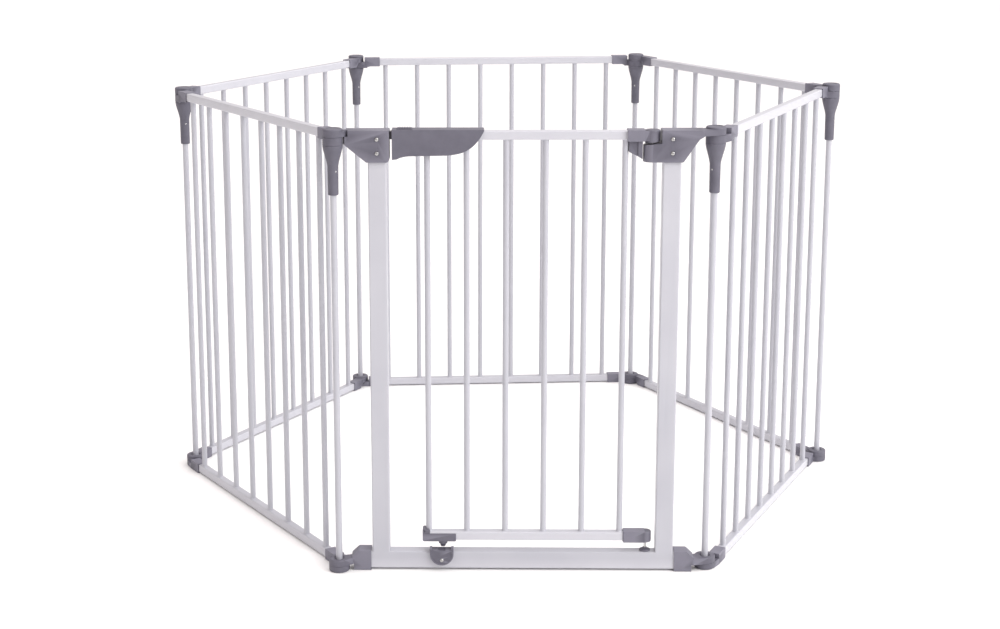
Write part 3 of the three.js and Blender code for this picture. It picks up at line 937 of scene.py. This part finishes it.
def hinge_cap_mesh():
    """The cap on the top rail and the knuckle that rides on the sloping seat."""
    top = 752.2
    body = rounded([(166, 734), (194.5, 734), (194.5, top), (166, top)], [1, 1, 1, 1])
    knuckle = [(0, 715), (HINGE_R, 715)]
    for k in range(6):
        a = math.pi / 2 * k / 5
        knuckle.append((HINGE_R - 2.4 * (1 - math.cos(a)), top - 2.4 * (1 - math.sin(a))))
    knuckle.append((0, top))
    web = block(186, HINGE_X, -HINGE_R + 1.2, HINGE_R - 1.2, 734.4, top - 1.4)
    turning = moulded([lathe(HINGE_X, 0, knuckle, 64)], [beyond_cam(SEAT_GAP / 2, 600)], bevel=0)
    return moulded(
        [front(body, -12.5, 12.5), web, from_mesh(turning)],
        [
            rail_pocket(165, 188.3, DOOR_TOP),
            disc(DOOR_BAR_X[-1], 0, BAR_R + 0.4, 733, DOOR_TOP[0] + 0.5, 32),
            disc(HINGE_X, 0, 3.3, 700, 746, 32),
        ],
        bevel=0.9,
    )


def guard_mesh():
    shape = [(168.7, 716), (181.5, 709.7), (190.5, 704.6), (190.5, 733.7), (168.7, 733.7)]
    rib = [(183.4, 708.8), (190.5, 704.6), (190.5, 733.7), (183.4, 733.7)]
    return moulded([front(shape, -6, 6), front(rib, -8, 8)], bevel=0.7)


def pivot_cap_mesh():
    shape = rounded(rectangle(170, 206, -9.5, 9.5), 0)
    return moulded(
        [
            plan(shape, 49.5, 68.5),
            lathe(HINGE_X, 0, [(0, 49.9), (9.2, 49.9), (10, 51), (10, 67), (9.2, 68.1), (0, 68.1)], 48),
            along_x(rounded(rectangle(-8.6, 8.6, 50.6, 67.4), 2, 4), 168.8, 172),
        ],
        [rail_pocket(160, 196.3, DOOR_FOOT), disc(HINGE_X, 0, 2.4, 40, 62.5, 24)],
        bevel=1.3,
    )


def latch_cap_mesh():
    """A channel under the rail, with a leg that climbs beside the first bar."""
    left = -168.5
    half = 9.3
    foot = LATCH_CAP_FOOT
    channel = rounded([(left, foot), (-112, foot), (-112, 63.5), (left, 63.5)], [3, 2, 1, 0])
    leg = rounded([(left, foot + 4), (-156, foot + 4), (-156, 71.5), (left, 71.5)], [0, 0, 3, 2.5])
    return moulded(
        [front(channel, -half, half), front(leg, -half + 0.6, half - 0.6)],
        [
            rail_pocket(-165.8, -100, DOOR_FOOT),
            disc(DOOR_BAR_X[0], 0, BAR_R + 0.4, 65, 80, 32),
            disc(LATCH_X, 0, 3.3, 48, 55, 24),
            lathe(-165.3, 68.2, [(0, -12), (1.2, -12), (1.2, 12), (0, 12)], 20, "Y"),
        ],
        bevel=0.9,
    )


def plunger_mesh():
    """The latch plunger: a collar under the cap and a blunt nose."""
    tip = low("latch_plunger").z
    rise = LATCH_CAP_FOOT - tip
    profile = [(0, tip), (3.8, tip), (4.4, tip + 0.6), (4.8, tip + 3.2), (5.6, tip + 4.2), (7.2, tip + 5.6)]
    profile += [(7.5, tip + 6.8), (7.5, tip + rise - 1), (7.1, tip + rise - 0.5), (3.0, tip + rise - 0.5)]
    profile += [(3.0, 58), (0, 58)]
    return moulded([lathe(LATCH_X, 0, profile, 48)], bevel=0)


def build_gate():
    gate_piece("gate_posts_and_sill", gate_frame_mesh(), WHITE, "gate", ["gate_frame"])
    gate_piece("bracket_left", bracket_left_mesh(), GREY, "gate", ["gate_bracket_top_left"])
    gate_piece("bracket_right", bracket_right_mesh(), GREY, "gate", ["gate_bracket_top_right"])
    for side, label in ((-1, "left"), (1, "right")):
        gate_piece(f"shoe_{label}", shoe_mesh(side), GREY, "gate", [f"gate_shoe_{label}"])
        for i, z in enumerate(SCREW_Z, 1):
            mesh = screw_mesh(side * POST_X, z, SCREW_DEPTH - BRACKET_HALF)
            gate_piece(f"screw_{label}_{i}", mesh, STEEL, "gate", [f"bracket_screw_{label}_{i}"])
    gate_piece("keeper", keeper_mesh(), GREY, "gate", ["latch_keeper"])
    screw = screw_mesh(KEEPER_X, KEEPER_SCREW_Z, KEEPER_FACE)
    gate_piece("screw_keeper", screw, STEEL, "gate", ["keeper_screw"])
    gate_piece("cup", pivot_cup_mesh(), GREY, "gate", ["pivot_cup"])
    gate_piece("pin_lower", pin_mesh(2.1, 25, 61), STEEL, "door_pins", ["pivot_pin"])
    gate_piece("pin_upper", pin_mesh(3, 714, 745), STEEL, "door_pins", ["hinge_pin"])
    gate_piece("door_bars", door_mesh(), WHITE, "door", ["door_panel"])
    gate_piece("handle", handle_mesh(), GREY, "door", ["door_handle"])
    gate_piece("hinge_cap", hinge_cap_mesh(), GREY, "door", ["door_hinge_cap"])
    gate_piece("guard", guard_mesh(), GREY, "door", ["hinge_guard"])
    gate_piece("pivot_cap", pivot_cap_mesh(), GREY, "door", ["door_pivot_cap"])
    gate_piece("latch_cap", latch_cap_mesh(), GREY, "door", ["door_latch_cap"])
    gate_piece("plunger", plunger_mesh(), GREY, "door", ["latch_plunger"])
    gate_piece("thumb_slide", lock_slide_mesh(), GREY, "door_lock", ["lock_slide"])
    # The bolt gets the near-black plastic, which is painted shade of the gap it sits in.
    gate_piece("bolt", latch_bolt_mesh(), PAINTED_SHADE_PLASTIC, "door_lock", ["latch_bolt"])


# ---------- stage ----------
WORLD_LEFT, WORLD_RIGHT = 0.0, 0.65  # the surround's brightness on the two sides
WORLD_TOP = 1.25  # how much brighter it is straight above
WARM = (1, 0.92, 0.9)  # its tint on the left


def add_floor():
    mesh = bpy.data.meshes.new("floor")
    bm = bmesh.new()
    size = 14
    bmesh.ops.create_grid(bm, x_segments=1, y_segments=1, size=size)
    bm.to_mesh(mesh)
    bm.free()
    mat, tree, shader, coords = new_material("pale_floor")
    shade = ramp(tree, noise(tree, coords, 2, 2), [(0.4, (0.93, 0.93, 0.93)), (0.6, (0.95, 0.95, 0.95))])
    tree.links.new(shade, shader.inputs["Base Color"])
    shader.inputs["Roughness"].default_value = 0.9
    mesh.materials.append(mat)
    floor = bpy.data.objects.new("floor", mesh)
    floor.location.z = -0.0005
    bpy.context.scene.collection.objects.link(floor)


def add_light(name, place, target, size, power, colour):
    light = bpy.data.lights.new(name, "AREA")
    light.shape = "RECTANGLE"
    light.size, light.size_y = size
    light.energy = power
    light.color = colour
    obj = bpy.data.objects.new(name, light)
    obj.location = place
    obj.rotation_euler = (Vector(target) - Vector(place)).to_track_quat("-Z", "Y").to_euler()
    bpy.context.scene.collection.objects.link(obj)


def add_lights():
    """A white surround whose light is dimmer and warmer on the left, and two broad lights."""
    world = bpy.data.worlds.new("studio")
    world.use_nodes = True
    tree = world.node_tree
    background = tree.nodes["Background"]
    coords = tree.nodes.new("ShaderNodeTexCoord")
    split = tree.nodes.new("ShaderNodeSeparateXYZ")
    tree.links.new(coords.outputs["Generated"], split.inputs["Vector"])
    levels = []
    for axis, start, lo, hi in (("X", -1, WORLD_LEFT, WORLD_RIGHT), ("Z", 0, 0, WORLD_TOP)):
        level = tree.nodes.new("ShaderNodeMapRange")
        level.inputs["From Min"].default_value = start
        level.inputs["To Min"].default_value = lo
        level.inputs["To Max"].default_value = hi
        tree.links.new(split.outputs[axis], level.inputs["Value"])
        levels.append(level.outputs["Result"])
    total = tree.nodes.new("ShaderNodeMath")
    for level, socket in zip(levels, total.inputs):
        tree.links.new(level, socket)
    tree.links.new(total.outputs["Value"], background.inputs["Strength"])
    tint = ramp(tree, levels[0], [(0.1, WARM), (0.75, (1, 1, 1))])
    tree.links.new(tint, background.inputs["Color"])
    plain = tree.nodes.new("ShaderNodeBackground")
    plain.inputs["Color"].default_value = (1, 1, 1, 1)
    seen = tree.nodes.new("ShaderNodeLightPath").outputs["Is Camera Ray"]
    mix = tree.nodes.new("ShaderNodeMixShader")
    for value, socket in zip((seen, background.outputs[0], plain.outputs[0]), mix.inputs):
        tree.links.new(value, socket)
    tree.links.new(mix.outputs["Shader"], tree.nodes["World Output"].inputs["Surface"])
    bpy.context.scene.world = world
    bpy.context.scene.view_settings.view_transform = "Standard"
    add_light("overhead", (0, 0.6, 4.5), (0, 0.6, 0), (5, 5), 40, (1, 1, 1))
    add_light("side", (3.2, -2.6, 2.6), (0, 0, 0.4), (2.6, 2.6), 110, (1, 0.99, 0.98))


# The camera's place in metres, its turn in radians and its lens in millimetres.
CAMERA = Vector((-0.166, -3.335, 1.18))
YAW, PITCH_DOWN, ROLL = 0.0104, 0.2, -0.0044
LENS = 63.17
SHIFT_X, SHIFT_Y = 0.06, -0.0995


def add_camera():
    """The camera stands in front of the gate, a little left and above the top rail."""
    camera = bpy.data.cameras.new("camera")
    camera.sensor_width = 36
    camera.lens = LENS
    camera.shift_x = SHIFT_X
    camera.shift_y = SHIFT_Y
    camera.clip_start, camera.clip_end = 0.05, 60
    obj = bpy.data.objects.new("camera", camera)
    obj.location = CAMERA
    level = math.cos(PITCH_DOWN)
    forward = Vector((math.sin(YAW) * level, math.cos(YAW) * level, -math.sin(PITCH_DOWN)))
    obj.rotation_mode = "QUATERNION"
    turn = forward.to_track_quat("-Z", "Y").to_matrix() @ Matrix.Rotation(ROLL, 3, "Z")
    obj.rotation_quaternion = turn.to_quaternion()
    bpy.context.scene.collection.objects.link(obj)
    bpy.context.scene.camera = obj


add_camera()
add_lights()
add_floor()
CAPS = {key: cap_mesh(*key) for key in KNUCKLES}
build_fences()
build_corners()
build_gate()
